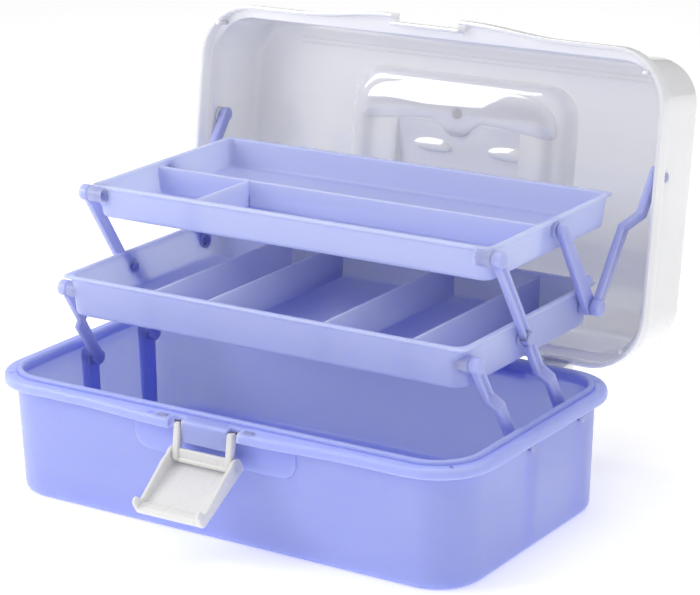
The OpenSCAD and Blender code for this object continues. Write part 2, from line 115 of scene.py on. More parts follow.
def about_x(at, degrees):
    """A turn about the line along X that runs through at, as (front to back, height)."""
    there = Matrix.Translation((0, at[0], at[1]))
    return there @ Matrix.Rotation(math.radians(degrees), 4, "X") @ there.inverted()


OPEN_LID = about_x(HINGE, -LID_OPEN)


# ---------------------------------------------------------------- mesh tools

def tidy(piece, sharp=35):
    """Merge doubled points, point the faces outward, and shade smooth between sharp edges."""
    bm = bmesh.new()
    bm.from_mesh(piece.data)
    bmesh.ops.remove_doubles(bm, verts=bm.verts, dist=2e-6)
    bmesh.ops.recalc_face_normals(bm, faces=bm.faces)
    limit = math.radians(sharp)
    for face in bm.faces:
        face.smooth = True
    for edge in bm.edges:
        edge.smooth = len(edge.link_faces) == 2 and edge.calc_face_angle() < limit
    bm.to_mesh(piece.data)
    bm.free()


def solid(name, shape, place=None):
    """A mesh object from (points, faces) in millimetres, turned by place."""
    points, faces = shape
    place = place or Matrix.Identity(4)
    mesh = bpy.data.meshes.new(name)
    mesh.from_pydata([(place @ Vector(p)) * MM for p in points], [], faces)
    piece = bpy.data.objects.new(name, mesh)
    bpy.context.scene.collection.objects.link(piece)
    tidy(piece)
    return piece


def bake(piece):
    """Apply a piece's modifiers to its mesh."""
    graph = bpy.context.evaluated_depsgraph_get()
    mesh = bpy.data.meshes.new_from_object(piece.evaluated_get(graph))
    piece.modifiers.clear()
    old, piece.data = piece.data, mesh
    bpy.data.meshes.remove(old)


def combine(piece, others, operation="UNION"):
    """Boolean each of the others into the piece and remove them."""
    for other in others:
        step = piece.modifiers.new(operation.lower(), "BOOLEAN")
        step.operation = operation
        step.solver = "EXACT"
        step.object = other
        bake(piece)
        bpy.data.objects.remove(other)
    tidy(piece)
    return piece


def soften(piece, width, segments=2, angle=40):
    """Round off the sharp edges of a piece."""
    step = piece.modifiers.new("edges", "BEVEL")
    step.width = width * MM
    step.segments = segments
    step.limit_method = "ANGLE"
    step.angle_limit = math.radians(angle)
    bake(piece)
    tidy(piece)
    return piece


def sleeve(rings):
    """Open skin between rings that all have the same number of points."""
    count = len(rings[0])
    points = [p for ring in rings for p in ring]
    faces = [(k * count + i, k * count + (i + 1) % count,
              (k + 1) * count + (i + 1) % count, (k + 1) * count + i)
             for k in range(len(rings) - 1) for i in range(count)]
    return points, faces


def loft(rings):
    """Closed skin over rings, with a flat cap at each end."""
    points, faces = sleeve(rings)
    count = len(rings[0])
    last = (len(rings) - 1) * count
    faces.append(tuple(reversed(range(count))))
    faces.append(tuple(range(last, last + count)))
    return points, faces


def rounded_ring(length, width, radius, z, xs=(), front=None):
    """Rounded rectangle at height z. front moves its -Y side out at each of xs."""
    x, y = length / 2 - radius, width / 2 - radius
    points = []
    for cx, cy, start in ((x, -y, -90), (x, y, 0), (-x, y, 90), (-x, -y, 180)):
        for i in range(ARC + 1):
            a = math.radians(start + 90 * i / ARC)
            points.append((cx + radius * math.cos(a), cy + radius * math.sin(a), z))
    return points + [(at, front(at, width), z) for at in xs]


def rounded_path(stations, steps=4):
    """Stations (length, width, radius, z, fillet) with each corner eased over its fillet."""
    path = []
    for i, station in enumerate(stations):
        here, fillet = Vector(station[:-1]), station[-1]
        if fillet == 0 or i in (0, len(stations) - 1):
            path.append(here)
            continue
        ends = []
        for other in (Vector(stations[i - 1][:-1]), Vector(stations[i + 1][:-1])):
            away = other - here
            reach = math.hypot(max(abs(away[0]), abs(away[1])) / 2, away[3])
            ends.append(here + away * min(0.5, fillet / reach))
        for k in range(steps + 1):
            t = k / steps
            path.append(ends[0] * (1 - t) ** 2 + here * 2 * t * (1 - t) + ends[1] * t ** 2)
    return path


def shell(stations, place=None, name="shell", xs=(), front=None, steps=4):
    """Closed skin over stations of (length, width, radius, z, fillet)."""
    rings = [rounded_ring(s[0], s[1], s[2], s[3], xs, front(s) if front else None)
             for s in rounded_path(stations, steps)]
    return solid(name, loft(rings), place)


def prism(name, outline, low, high, axis="Z", place=None):
    """An outline pushed from low to high. Along X the outline is (y, z), along Z it is (x, y)."""
    if axis == "X":
        rings = [[(at, p[0], p[1]) for p in outline] for at in (low, high)]
    elif axis == "Y":
        rings = [[(p[0], at, p[1]) for p in outline] for at in (low, high)]
    else:
        rings = [[(p[0], p[1], at) for p in outline] for at in (low, high)]
    return solid(name, loft(rings), place)


def block(name, low, high, place=None):
    """A box from its lowest corner to its highest."""
    outline = [(low[0], low[1]), (high[0], low[1]), (high[0], high[1]), (low[0], high[1])]
    return prism(name, outline, low[2], high[2], "Z", place)


def lathe(name, profile, at, sides=40, place=None):
    """A turned shape about X through at, from (radius, x) pairs that start and end on the axis."""
    rings = [[(x, at[0] + r * math.cos(2 * math.pi * i / sides),
               at[1] + r * math.sin(2 * math.pi * i / sides)) for i in range(sides)]
             for r, x in profile]
    return solid(name, sleeve(rings), place)


def button(radius, x0, x1, edge=0.8, inner_edge=0.0, steps=4):
    """Profile of a round boss from x0 to x1 with a rounded outer rim."""
    way = 1 if x1 > x0 else -1
    profile = [(0, x0), (radius - inner_edge, x0), (radius, x0 + way * inner_edge)]
    for k in range(steps + 1):
        a = math.radians(90 * k / steps)
        profile.append((radius - edge + edge * math.cos(a), x1 - way * (edge - edge * math.sin(a))))
    return profile + [(0, x1)]


def arc(cx, cy, r, start, end, steps=5):
    """Points along part of a circle, from start to end in degrees."""
    return [(cx + r * math.cos(math.radians(start + (end - start) * k / steps)),
             cy + r * math.sin(math.radians(start + (end - start) * k / steps)))
            for k in range(steps + 1)]


def circle(cx, cy, r, sides):
    """Outline of a whole circle."""
    return [(cx + r * math.cos(a), cy + r * math.sin(a))
            for a in [math.tau * k / sides for k in range(sides)]]


def tube(radius, x0, x1):
    """Profile of a plain round cutter from x0 to x1, for lathe."""
    return [(0, x0), (radius, x0), (radius, x1), (0, x1)]


def smooth(outline, rounds=2):
    """Closed outline with its corners cut back again and again."""
    for _ in range(rounds):
        pairs = list(zip(outline, outline[1:] + outline[:1]))
        outline = [(a[0] * f + b[0] * (1 - f), a[1] * f + b[1] * (1 - f))
                   for a, b in pairs for f in (0.75, 0.25)]
    return outline


def both_ways(half):
    """An outline from its right half, listed from one end of the middle line to the other."""
    return half + [(-x, y) for x, y in reversed(half) if x > 0.01]


MIRROR = Matrix.Scale(-1, 4, (1, 0, 0))


def closed_point(at):
    """A pivot of the open lid, carried back to where it lies with the lid shut."""
    return OPEN_LID.inverted() @ Vector((0, at[0], at[1]))


# ---------------------------------------------------------------- materials

def new_material(name):
    material = bpy.data.materials.new(name)
    material.use_nodes = True
    nodes, links = material.node_tree.nodes, material.node_tree.links
    return material, nodes, links, nodes["Principled BSDF"]


def noise(nodes, links, coordinates, scale, detail=3.0, stretch=None):
    texture = nodes.new("ShaderNodeTexNoise")
    texture.inputs["Scale"].default_value = scale
    texture.inputs["Detail"].default_value = detail
    source = coordinates
    if stretch:
        mapping = nodes.new("ShaderNodeMapping")
        mapping.inputs["Scale"].default_value = stretch
        links.new(coordinates, mapping.inputs["Vector"])
        source = mapping.outputs["Vector"]
    links.new(source, texture.inputs["Vector"])
    return texture.outputs["Fac"]


def ramp(nodes, links, value, low, high, start=0.35, stop=0.65):
    """Colours or greys between start and stop of a noise value."""
    node = nodes.new("ShaderNodeValToRGB")
    node.color_ramp.elements[0].position = start
    node.color_ramp.elements[1].position = stop
    node.color_ramp.elements[0].color = (*low, 1) if len(low) == 3 else low
    node.color_ramp.elements[1].color = (*high, 1) if len(high) == 3 else high
    links.new(value, node.inputs["Fac"])
    return node.outputs["Color"]


def moulded_plastic(name, light, deep, rough=(0.30, 0.40), glow=0.15, scatter=(1, 1, 1), grain=0.05,
                    scratches=0.04):
    """Injection-moulded plastic: flow marks, faint scuffs and a fine orange-peel skin."""
    material, nodes, links, shader = new_material(name)
    where = nodes.new("ShaderNodeTexCoord").outputs["Object"]
    flow = noise(nodes, links, where, 14, 4, (1, 1, 2.6))
    links.new(ramp(nodes, links, flow, deep, light), shader.inputs["Base Color"])

    scuff = noise(nodes, links, where, 260, 2, (1, 0.05, 0.4))
    smear = noise(nodes, links, where, 38, 3)
    mix = nodes.new("ShaderNodeMath")
    mix.operation = "MULTIPLY"
    links.new(scuff, mix.inputs[0])
    links.new(smear, mix.inputs[1])
    rough_map = nodes.new("ShaderNodeMapRange")
    rough_map.inputs["From Min"].default_value = 0.15
    rough_map.inputs["From Max"].default_value = 0.40
    rough_map.inputs["To Min"].default_value = rough[0]
    rough_map.inputs["To Max"].default_value = rough[1]
    links.new(mix.outputs[0], rough_map.inputs["Value"])
    links.new(rough_map.outputs["Result"], shader.inputs["Roughness"])

    peel = nodes.new("ShaderNodeBump")
    peel.inputs["Strength"].default_value = grain
    peel.inputs["Distance"].default_value = 0.0004
    links.new(noise(nodes, links, where, 900, 2), peel.inputs["Height"])
    sink = nodes.new("ShaderNodeBump")
    sink.inputs["Strength"].default_value = scratches
    sink.inputs["Distance"].default_value = 0.003
    links.new(noise(nodes, links, where, 22, 1), sink.inputs["Height"])
    links.new(peel.outputs["Normal"], sink.inputs["Normal"])
    links.new(sink.outputs["Normal"], shader.inputs["Normal"])

    shader.inputs["Subsurface Weight"].default_value = glow
    shader.inputs["Subsurface Radius"].default_value = scatter
    shader.inputs["Subsurface Scale"].default_value = 0.015
    shader.inputs["IOR"].default_value = 1.49
    shader.inputs["Specular IOR Level"].default_value = 0.45
    return material, nodes, links, shader


BLUE_SCATTER = (1.0, 1.0, 0.7)


def make_materials():
    """The plastics and the steel, by name."""
    made = {}
    made["tub_plastic"] = moulded_plastic(
        "tub_plastic", (0.35, 0.40, 0.96), (0.335, 0.385, 0.945),
        glow=1.0, scatter=BLUE_SCATTER)[0]
    made["tray_plastic"] = moulded_plastic(
        "tray_plastic", (0.43, 0.48, 0.97), (0.415, 0.465, 0.955),
        glow=1.0, scatter=BLUE_SCATTER)[0]
    made["arm_plastic"] = moulded_plastic(
        "arm_plastic", (0.40, 0.44, 0.93), (0.385, 0.425, 0.91), rough=(0.28, 0.38),
        glow=0.8, scatter=BLUE_SCATTER)[0]
    made["white_plastic"] = moulded_plastic(
        "white_plastic", (0.76, 0.755, 0.73), (0.74, 0.735, 0.71), rough=(0.25, 0.36),
        glow=0.25, scatter=(1.0, 0.95, 0.85))[0]
    lid, nodes, links, shader = moulded_plastic(
        "lid_plastic", (0.94, 0.935, 0.93), (0.92, 0.915, 0.91), rough=(0.12, 0.22),
        glow=1.0, grain=0.015, scratches=0.03)
    shader.inputs["Subsurface Scale"].default_value = 0.006
    shader.inputs["Coat Weight"].default_value = 1.0
    shader.inputs["Coat Roughness"].default_value = 0.03
    shader.inputs["Coat IOR"].default_value = 1.9
    made["lid_plastic"] = lid
    steel, nodes, links, shader = new_material("pin_steel")
    where = nodes.new("ShaderNodeTexCoord").outputs["Object"]
    drawn = noise(nodes, links, where, 900, 3, (0.02, 1, 1))
    links.new(ramp(nodes, links, drawn, (0.42, 0.42, 0.44), (0.62, 0.62, 0.64)),
              shader.inputs["Base Color"])
    shader.inputs["Metallic"].default_value = 1.0
    shader.inputs["Roughness"].default_value = 0.32
    made["pin_steel"] = steel
    return made


MATERIALS = make_materials()


def place_piece(piece, body, slot, *nodes):
    """Give a piece its material, its body and the CAD nodes that it stands for."""
    piece.data.materials.clear()
    piece.data.materials.append(MATERIALS[slot])
    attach(piece, body)
    if nodes:
        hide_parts(*nodes)
    return piece


# ---------------------------------------------------------------- bowed rims

BOW_REACH = 88.0
BOW_START = 24.0
NOTCH_IN = 14.5
NOTCH_OUT = 22.4


def bow(x):
    """1 at the latch, easing to 0 where the straight rim begins."""
    t = (BOW_REACH - abs(x)) / (BOW_REACH - BOW_START)
    return (1 - math.cos(math.pi * min(1, max(0, t)))) / 2


def rim_xs(edges):
    """Points along the front of a rim: the bow's curve and both sides of each notch edge."""
    curve = [BOW_START + (BOW_REACH - BOW_START) * i / 10 for i in range(11)]
    both = [x for e in edges for x in (e - EPS, e + EPS)]
    half = sorted(curve + both)
    return [-x for x in reversed(half)] + half


# ---------------------------------------------------------------- tub

TUB_LOW, TUB_HIGH = node_box("base_tub")
RIM_L = TUB_HIGH.x - TUB_LOW.x
RIM_W = 179.0
RIM_R = 33.0
RIM_TOP = TUB_HIGH.z
FLANGE_TOP = RIM_TOP - 2
TUB_BOW = 4.0
TONGUE_Y = -91.7
NOTCH_Y = -86.8
WALL = 2.6


def tub_front(station):
    """How the front of a rim ring bows out, and steps in at the latch."""
    flange = station[0] > RIM_L - 9

    def front(x, width):
        y = -width / 2
        if not flange:
            return y
        if abs(x) < NOTCH_IN:
            return max(y - TUB_BOW, TONGUE_Y + (RIM_W - width) / 2)
        if abs(x) < NOTCH_OUT:
            return max(y, NOTCH_Y)
        return y - TUB_BOW * bow(x)
    return front


def make_tub():
    """The tub: walls, rolled rim, bead and latch tongue in one skin, then its fittings."""
    foot_l, foot_w, foot_r = RIM_L - 16.6, RIM_W - 17.1, 26.5
    top_l, top_w = RIM_L - 13, RIM_W - 13.5
    in_l, in_w = RIM_L - 21, RIM_W - 21.5
    bead_l, bead_w = in_l + 6.4, in_w + 6.4
    skirt = FLANGE_TOP - 5.6
    under = FLANGE_TOP - 2.5
    stations = [
        (foot_l - 20, foot_w - 20, 16, 0, 0),
        (foot_l, foot_w, foot_r, 0, 4.2),
        (top_l, top_w, foot_r, under, 0.8),
        (RIM_L - 3.6, RIM_W - 3.6, RIM_R - 1.8, under, 0.5),
        (RIM_L - 3.6, RIM_W - 3.6, RIM_R - 1.8, skirt, 0.5),
        (RIM_L, RIM_W, RIM_R, skirt, 0.9),
        (RIM_L, RIM_W, RIM_R, FLANGE_TOP, 2.4),
        (bead_l + 2.0, bead_w + 2.0, 26.7, FLANGE_TOP, 0.35),
        (bead_l + 1.4, bead_w + 1.4, 26.4, FLANGE_TOP - 0.9, 0.2),
        (bead_l + 0.5, bead_w + 0.5, 25.9, FLANGE_TOP - 0.9, 0.2),
        (bead_l, bead_w, 25.7, RIM_TOP, 1.5),
        (in_l, in_w, 22.5, RIM_TOP, 1.5),
        (in_l, in_w, 22.5, under - 1.0, 0.7),
        (top_l - 2 * WALL, top_w - 2 * WALL, 24.5, under - 2.4, 0.6),
        (foot_l - 2 * WALL, foot_w - 2 * WALL, 24.5, WALL, 5.0),
        (foot_l - 30, foot_w - 30, 12, WALL, 0)]
    tub = shell(stations, name="tub_shell", xs=rim_xs((NOTCH_IN, NOTCH_OUT)), front=tub_front)

    cutters = []
    peg_at = RIM_R - 4
    for sx in (-1, 1):
        for sy in (-1, 1):
            turn = math.degrees(math.atan2(sy, sx))
            at = Vector((sx * (RIM_L / 2 - RIM_R), sy * (RIM_W / 2 - RIM_R), 0))
            place = Matrix.Translation(at) @ Matrix.Rotation(math.radians(turn), 4, "Z")
            cutters.append(block("slot", (peg_at - 3.2, -0.6, FLANGE_TOP - 1.6),
                                 (peg_at, 0.6, FLANGE_TOP + 3), place))
            cutters.append(prism("hole", circle(peg_at, 0, 1.6, 24), FLANGE_TOP - 1.6,
                                 FLANGE_TOP + 3, "Z", place))
    cutters.append(block("slot", (-38.2, -90.2, FLANGE_TOP - 1.5), (-33.2, -86.9, FLANGE_TOP + 3)))
    combine(tub, cutters, "DIFFERENCE")
    add_tub_fittings(tub)
    place_piece(tub, "base", "tub_plastic", "base_tub")

    for x0 in (-31.2, 24.6):
        tab = block("tub_rim_tab", (x0, -91.3, FLANGE_TOP - 0.6),
                    (x0 + 6.6, -88.6, FLANGE_TOP + 0.6))
        tab.name = "tub_rim_tab_left" if x0 < 0 else "tub_rim_tab_right"
        place_piece(soften(tab, 0.35, 3), "base", "tub_plastic")


def add_tub_fittings(tub):
    """Latch tongue and pad, pivot posts inside the end walls, and hinge knuckles."""
    lip = FLANGE_TOP - 0.6
    face = TONGUE_Y - 0.12
    outline = ([(TONGUE_Y + 2, 56.5), (TONGUE_Y + 2, lip)]
               + arc(face + 2.0, lip - 2.0, 2.0, 90, 180)
               + arc(face + 0.6, 56.5 + 0.6, 0.6, 180, 270))
    tongue = prism("tongue", outline, -NOTCH_IN, NOTCH_IN, "X")
    parts = [soften(tongue, 0.3, 2, 50)]

    front = -(RIM_W - 13.5) / 2
    pad_outline = (arc(43, 45 + 9, 9, -90, 0) + [(52, 66.4), (-52, 66.4)]
                   + arc(-43, 45 + 9, 9, 180, 270))
    parts.append(soften(prism("pad", pad_outline, front - 0.55, front + 1.6, "Y"), 0.5, 3))

    post_face = PLANE_OUT + ARM_T + 0.4
    wall = RIM_L / 2 - 8.7
    holes = []
    for side, label in ((1, "right"), (-1, "left")):
        flip = Matrix.Identity(4) if side > 0 else MIRROR
        for at in (BASE_FRONT, BASE_REAR):
            post = block("post", (post_face + 0.35, at.x - PIVOT_BOSS_R, WALL - 0.5),
                         (wall, at.x + PIVOT_BOSS_R, at.y), flip)
            parts.append(soften(post, 1.2, 4))
            parts.append(lathe("boss", button(PIVOT_BOSS_R, wall, post_face, 0.8), at, place=flip))
            holes.append(lathe("hole", tube(BORE_R, post_face - 1, RIM_L / 2), at, place=flip))

        pin_low, pin_high = node_box(f"hinge_pin_{label}")
        centre = (pin_low.x + pin_high.x) / 2
        knuckle = lathe("knuckle", button(KNUCKLE_R, centre - 11, centre + 11, 0.5, 0.5), HINGE)
        web = prism("web", [(82.2, 59.9), (HINGE.x - 0.4, 59.9), (HINGE.x, 64.2), (82.2, 64.9)],
                    centre - 10.6, centre + 10.6, "X")
        bore = lathe("bore", tube(HINGE_BORE_R, centre - 12, centre + 12), HINGE)
        combine(knuckle, [web])
        parts.append(soften(knuckle, 0.25, 2, 50))
        holes.append(bore)
        frame["nodes"][f"hinge_pin_{label}"].data.materials.clear()
        frame["nodes"][f"hinge_pin_{label}"].data.materials.append(MATERIALS["pin_steel"])
    combine(tub, parts)
    combine(tub, holes, "DIFFERENCE")


# ---------------------------------------------------------------- trays

TRAY_WALL = 1.9
TRAY_LIP = 1.2
PARTITION = 1.6


def tray_stations(size, radius, lip_radius, draft, floor_fillet):
    """Profile of a tray, from the middle of its underside round its lip to its inside."""
    length, width, height = size
    body_l, body_w = length - 2 * TRAY_LIP, width - 2 * TRAY_LIP
    in_l, in_w, in_r = body_l - 2 * TRAY_WALL, body_w - 2 * TRAY_WALL, max(radius - TRAY_WALL, 2)
    d = 2 * draft
    return [
        (body_l - d - 24, body_w - d - 24, max(radius - 8, 1), 0, 0),
        (body_l - d, body_w - d, radius, 0, 2.2),
        (body_l, body_w, radius, height - 2.4, 0.5),
        (length, width, lip_radius, height - 1.7, 0.4),
        (length, width, lip_radius, height, 0.8),
        (in_l, in_w, in_r, height, 0.9),
        (in_l - d, in_w - d, in_r, TRAY_WALL, floor_fillet),
        (in_l - d - 24, in_w - d - 24, 1, TRAY_WALL, 0)]


def partition(name, at, start, end, height, along, foot, slope):
    """A thin wall across a tray with a round top edge and a flared foot.

    start and end are its ends at the top; each leans in by slope for each millimetre down.
    """
    half = PARTITION / 2
    profile = ([(half + 1.6, TRAY_WALL - 0.3), (half + 0.5, TRAY_WALL + 0.35),
                (half + 0.12, TRAY_WALL + 1.4)]
               + arc(0, height - half, half, 0, 180, 8)
               + [(-half - 0.12, TRAY_WALL + 1.4), (-half - 0.5, TRAY_WALL + 0.35),
                  (-half - 1.6, TRAY_WALL - 0.3)])
    rings = []
    for end_at, lean in ((start, 1), (end, -1)):
        ring = []
        for across, z in profile:
            run = end_at + lean * slope * (height - z)
            x, y = (at + across, run) if along == "Y" else (run, at + across)
            ring.append((x, y, z))
        rings.append(ring)
    return solid(name, loft(rings), Matrix.Translation(foot))


def tray_boss(at, side, inner):
    """Round boss on a tray's end wall, and the hole for a stud and its snap head."""
    flip = Matrix.Identity(4) if side > 0 else MIRROR
    boss = lathe("boss", button(4.6, inner, PLANE_IN - 0.3, 0.6), at, place=flip)
    hole = lathe("hole", [(0, inner - 1), (3.4, inner - 1), (3.4, POCKET_X), (2.3, POCKET_X),
                          (2.3, PLANE_IN + 1), (0, PLANE_IN + 1)], at, place=flip)
    return boss, hole


def make_middle_tray():
    """Tray of five bays in a row, with bosses for three arms at each end."""
    low, high = node_box("middle_tray")
    size = (260.0, high.y - low.y, high.z - low.z)
    centre = Vector((0, (low.y + high.y) / 2, low.z))
    draft = 1.6
    slope = draft / size[2]
    tray = shell(tray_stations(size, 9.0, 2.5, draft, 3.0), Matrix.Translation(centre),
                 "middle_tray_shell")
    reach = size[1] / 2 - TRAY_LIP - TRAY_WALL + 0.5
    walls = [partition("wall", x, -reach, reach, size[2] - 1.3, "Y", centre, slope)
             for x in (-70, -34, 41, 96)]
    bosses = [tray_boss(at, side, inner) for side in (1, -1)
              for at, inner in ((MID_FRONT, 120.5), (MID_MID, 126.2), (MID_REAR, 124.5))]
    combine(tray, walls + [boss for boss, hole in bosses])
    combine(tray, [hole for boss, hole in bosses], "DIFFERENCE")
    place_piece(tray, "middle_tray", "tray_plastic", "middle_tray")


def make_top_tray():
    """Tray with one long rear bay and two front bays, with bosses for two arms at each end."""
    low, high = node_box("top_tray")
    size = (259.0, 133.0, high.z - low.z)
    centre = Vector((0, high.y - size[1] / 2, low.z))
    draft = 1.8
    slope = draft / size[2]
    tray = shell(tray_stations(size, 6.0, 2.5, draft, 2.6), Matrix.Translation(centre),
                 "top_tray_shell")
    half_l = size[0] / 2 - TRAY_LIP - TRAY_WALL + 0.5
    half_w = size[1] / 2 - TRAY_LIP - TRAY_WALL + 0.5
    walls = [partition("wall", -8.5, -half_l, half_l, size[2] - 1.5, "X", centre, slope),
             partition("wall", -62, -half_w, -8.5, size[2] - 1.6, "Y", centre, slope)]
    bosses = [tray_boss(at, side, inner) for side in (1, -1)
              for at, inner in ((TOP_FRONT, 120.5), (TOP_REAR, 125.8))]
    combine(tray, walls + [boss for boss, hole in bosses])
    combine(tray, [hole for boss, hole in bosses], "DIFFERENCE")
    place_piece(tray, "top_tray", "tray_plastic", "top_tray")


# ---------------------------------------------------------------- arms


def arm_section(x, u, width, depth, thick=ARM_T, edge=0.9):
    """Cross-section of an arm at u along it: a rounded bar with a channel in its outer face."""
    half = width / 2
    groove = half - 1.7
    outline = (arc(-half + edge, edge, edge, 180, 270, 3)
               + arc(half - edge, edge, edge, 270, 360, 3)
               + arc(half - edge, thick - edge, edge, 0, 90, 3)
               + [(groove, thick), (groove - 0.5, thick - depth),
                  (-groove + 0.5, thick - depth), (-groove, thick)]
               + arc(-half + edge, thick - edge, edge, 90, 180, 3))
    return [(x + t, u, v) for v, t in outline]


def bar(stations):
    """Bar through stations (distance along the arm, plane, width, channel depth)."""
    return loft([arm_section(x, u, width, depth) for u, x, width, depth in stations])


def stud(u, base, tip, place):
    """A stud with its split snap head."""
    way = 1 if tip > base else -1
    profile = [(0, base - way * 0.8), (STUD_R, base - way * 0.8), (STUD_R, tip - way * HEAD_T),
               (HEAD_R, tip - way * HEAD_T * 0.8), (HEAD_R - 0.1, tip - way * 0.5),
               (STUD_R - 0.5, tip), (0, tip)]
    pin = lathe("stud", profile, (u, 0), 32, place)
    slit = block("slit", (min(tip, tip - way * 3.4) - 0.5, u - 0.45, -4),
                 (max(tip, tip - way * 3.4) + 0.5, u + 0.45, 4), place)
    return combine(pin, [slit], "DIFFERENCE")


def arm_place(side, at, angle):
    """Where an arm's own frame lies: at a pivot, turned by angle, and mirrored on the left."""
    place = Matrix.Translation((0, at[0], at[1])) @ Matrix.Rotation(math.radians(angle), 4, "X")
    return place if side > 0 else MIRROR @ place


def make_arm(name, body, side, at, angle, bar_stations, caps, studs):
    """One arm with its round heads and studs. Drawn along +Y from at, then turned by angle."""
    place = arm_place(side, at, angle)
    label = "right" if side > 0 else "left"
    arm = solid(f"{name}_{label}_body", bar(bar_stations), place)
    parts = [lathe("cap", button(r, x0 + 0.05, x0 + depth, 1.0, 0.4), (u, 0), 44, place)
             for u, r, x0, depth in caps]
    parts += [stud(u, base, tip, place) for u, base, tip in studs]
    combine(arm, parts)
    place_piece(arm, body, "arm_plastic", f"{name}_{label}")
    return arm


def make_arms():
    """The four pairs of arms, each made on the right and mirrored on the left."""
    step = STEP.length
    angle = math.degrees(math.atan2(STEP.y, STEP.x))
    stud_tip = PLANE_IN - STUD_IN
    outer_wall = TUB_HIGH.x - 6.5 + TUB_STUD_OUT
    lower = [(0, PLANE_OUT, ARM_W, 0), (24, PLANE_OUT, ARM_W, 0), (28.3, PLANE_OUT, ARM_W + 0.6, 0),
             (34.7, PLANE_IN, ARM_W + 0.6, 0.3), (37, PLANE_IN, ARM_W, 1.5)]
    reach = (LID_PIVOT - MID_REAR).length
    lid_angle = math.degrees(math.atan2(LID_PIVOT.y - MID_REAR.y, LID_PIVOT.x - MID_REAR.x))
    for side in (1, -1):
        base_stud = (0, PLANE_OUT + ARM_T, outer_wall)
        make_arm("short_arm", "short_arms", side, BASE_FRONT, angle,
                 lower + [(step - 5.5, PLANE_IN, ARM_W, 1.5), (step - 4.8, PLANE_IN, ARM_W, 0),
                          (step, PLANE_IN, ARM_W, 0)],
                 [(0, 4.3, PLANE_OUT, ARM_T), (step, 4.5, PLANE_IN, ARM_T + 1.6)],
                 [base_stud, (step, PLANE_IN, stud_tip)])
        make_arm("long_arm", "long_arms", side, BASE_REAR, angle,
                 lower + [(step - 5.2, PLANE_IN, ARM_W, 1.5), (step - 4.6, PLANE_IN, ARM_W, 0),
                          (step + 4.6, PLANE_IN, ARM_W, 0), (step + 5.2, PLANE_IN, ARM_W, 1.5),
                          (2 * step - 5.5, PLANE_IN, ARM_W, 1.5),
                          (2 * step - 4.8, PLANE_IN, ARM_W, 0), (2 * step, PLANE_IN, ARM_W, 0)],
                 [(0, 4.3, PLANE_OUT, ARM_T), (step, 4.0, PLANE_IN, ARM_T + 1),
                  (2 * step, 4.5, PLANE_IN, ARM_T + 1.6)],
                 [base_stud, (step, PLANE_IN, stud_tip), (2 * step, PLANE_IN, stud_tip)])
        make_arm("lid_arm", "lid_arms", side, MID_REAR, lid_angle,
                 [(0, LID_PLANE_IN, ARM_W - 0.6, 0), (4.6, LID_PLANE_IN, ARM_W - 0.6, 0),
                  (5.4, LID_PLANE_IN, ARM_W - 0.4, 1.5), (0.57 * reach, LID_PLANE_IN, ARM_W, 1.5),
                  (0.60 * reach, LID_PLANE_IN, ARM_W + 0.4, 0.4),
                  (0.71 * reach, LID_PLANE_OUT, ARM_W + 0.4, 0),
                  (0.75 * reach, LID_PLANE_OUT, ARM_W, 0),
                  (reach + 1.5, LID_PLANE_OUT, ARM_W, 0)],
                 [(0, 4.6, LID_PLANE_IN, 5.6), (reach + 1.5, 4.05, LID_PLANE_OUT, ARM_T)],
                 [(reach, LID_PLANE_OUT + ARM_T, BODY_L / 2 + LID_STUD_OUT)])
        make_top_arm(side, angle, step)


def make_top_arm(side, angle, step):
    """Flat tapering arm between the trays' rear pivots, with a small finger on its rear edge."""
    place = arm_place(side, MID_REAR, angle)
    label = "right" if side > 0 else "left"
    low_r, high_r = 4.9, 3.6
    outline = arc(0, 0, low_r, 90, 270, 16) + arc(step, 0, high_r, -90, 90, 16)
    arm = solid(f"top_arm_{label}_body",
                loft([[(x, u, v) for u, v in outline]
                      for x in (PLANE_IN + 0.02, PLANE_IN + ARM_T)]),
                place)
    soften(arm, 0.8, 4, 40)
    outline = [(12.6, -3.5)] + arc(14.6, -7.0, 1.9, 190, 350, 6) + [(17.4, -3.5)]
    finger = solid("finger", loft([[(x, u, v) for u, v in outline]
                                   for x in (PLANE_IN + 1.2, PLANE_IN + ARM_T)]), place)
    soften(finger, 0.5, 3)
    parts = [finger] + [stud(u, PLANE_IN, PLANE_IN - STUD_IN, place) for u in (0, step)]
    combine(arm, parts)
    place_piece(arm, "top_arms", "arm_plastic", f"top_arm_{label}")


# ---------------------------------------------------------------- lid, drawn closed

LID_Z = 70.2
LID_TOP = 126.0
LID_BAND = 10.0
LID_WALL = 2.4
LID_BOW = 4.5
LID_NOTCH = 22.6
LID_NOTCH_Y = -89.3
BODY_L = RIM_L - 7
BODY_W = RIM_W - 11
RECESS_D = 6.8
RECESS_Y0, RECESS_Y1 = -58.0, 30.0
RECESS_HALF = 76.0
ISLAND_SLOPE = 0.21
HANDLE_BORE_R = 2.25
ISLAND_X0, ISLAND_X1 = -43.4, 45.4


def lid_front(station):
    """How the front of a lid ring bows out, and steps in for the latch."""
    band = station[0] > BODY_L + 1

    def front(x, width):
        y = -width / 2
        if not band:
            return y
        if abs(x) < LID_NOTCH:
            return max(y, LID_NOTCH_Y + (RIM_W - width) / 2)
        return y - LID_BOW * bow(x)
    return front


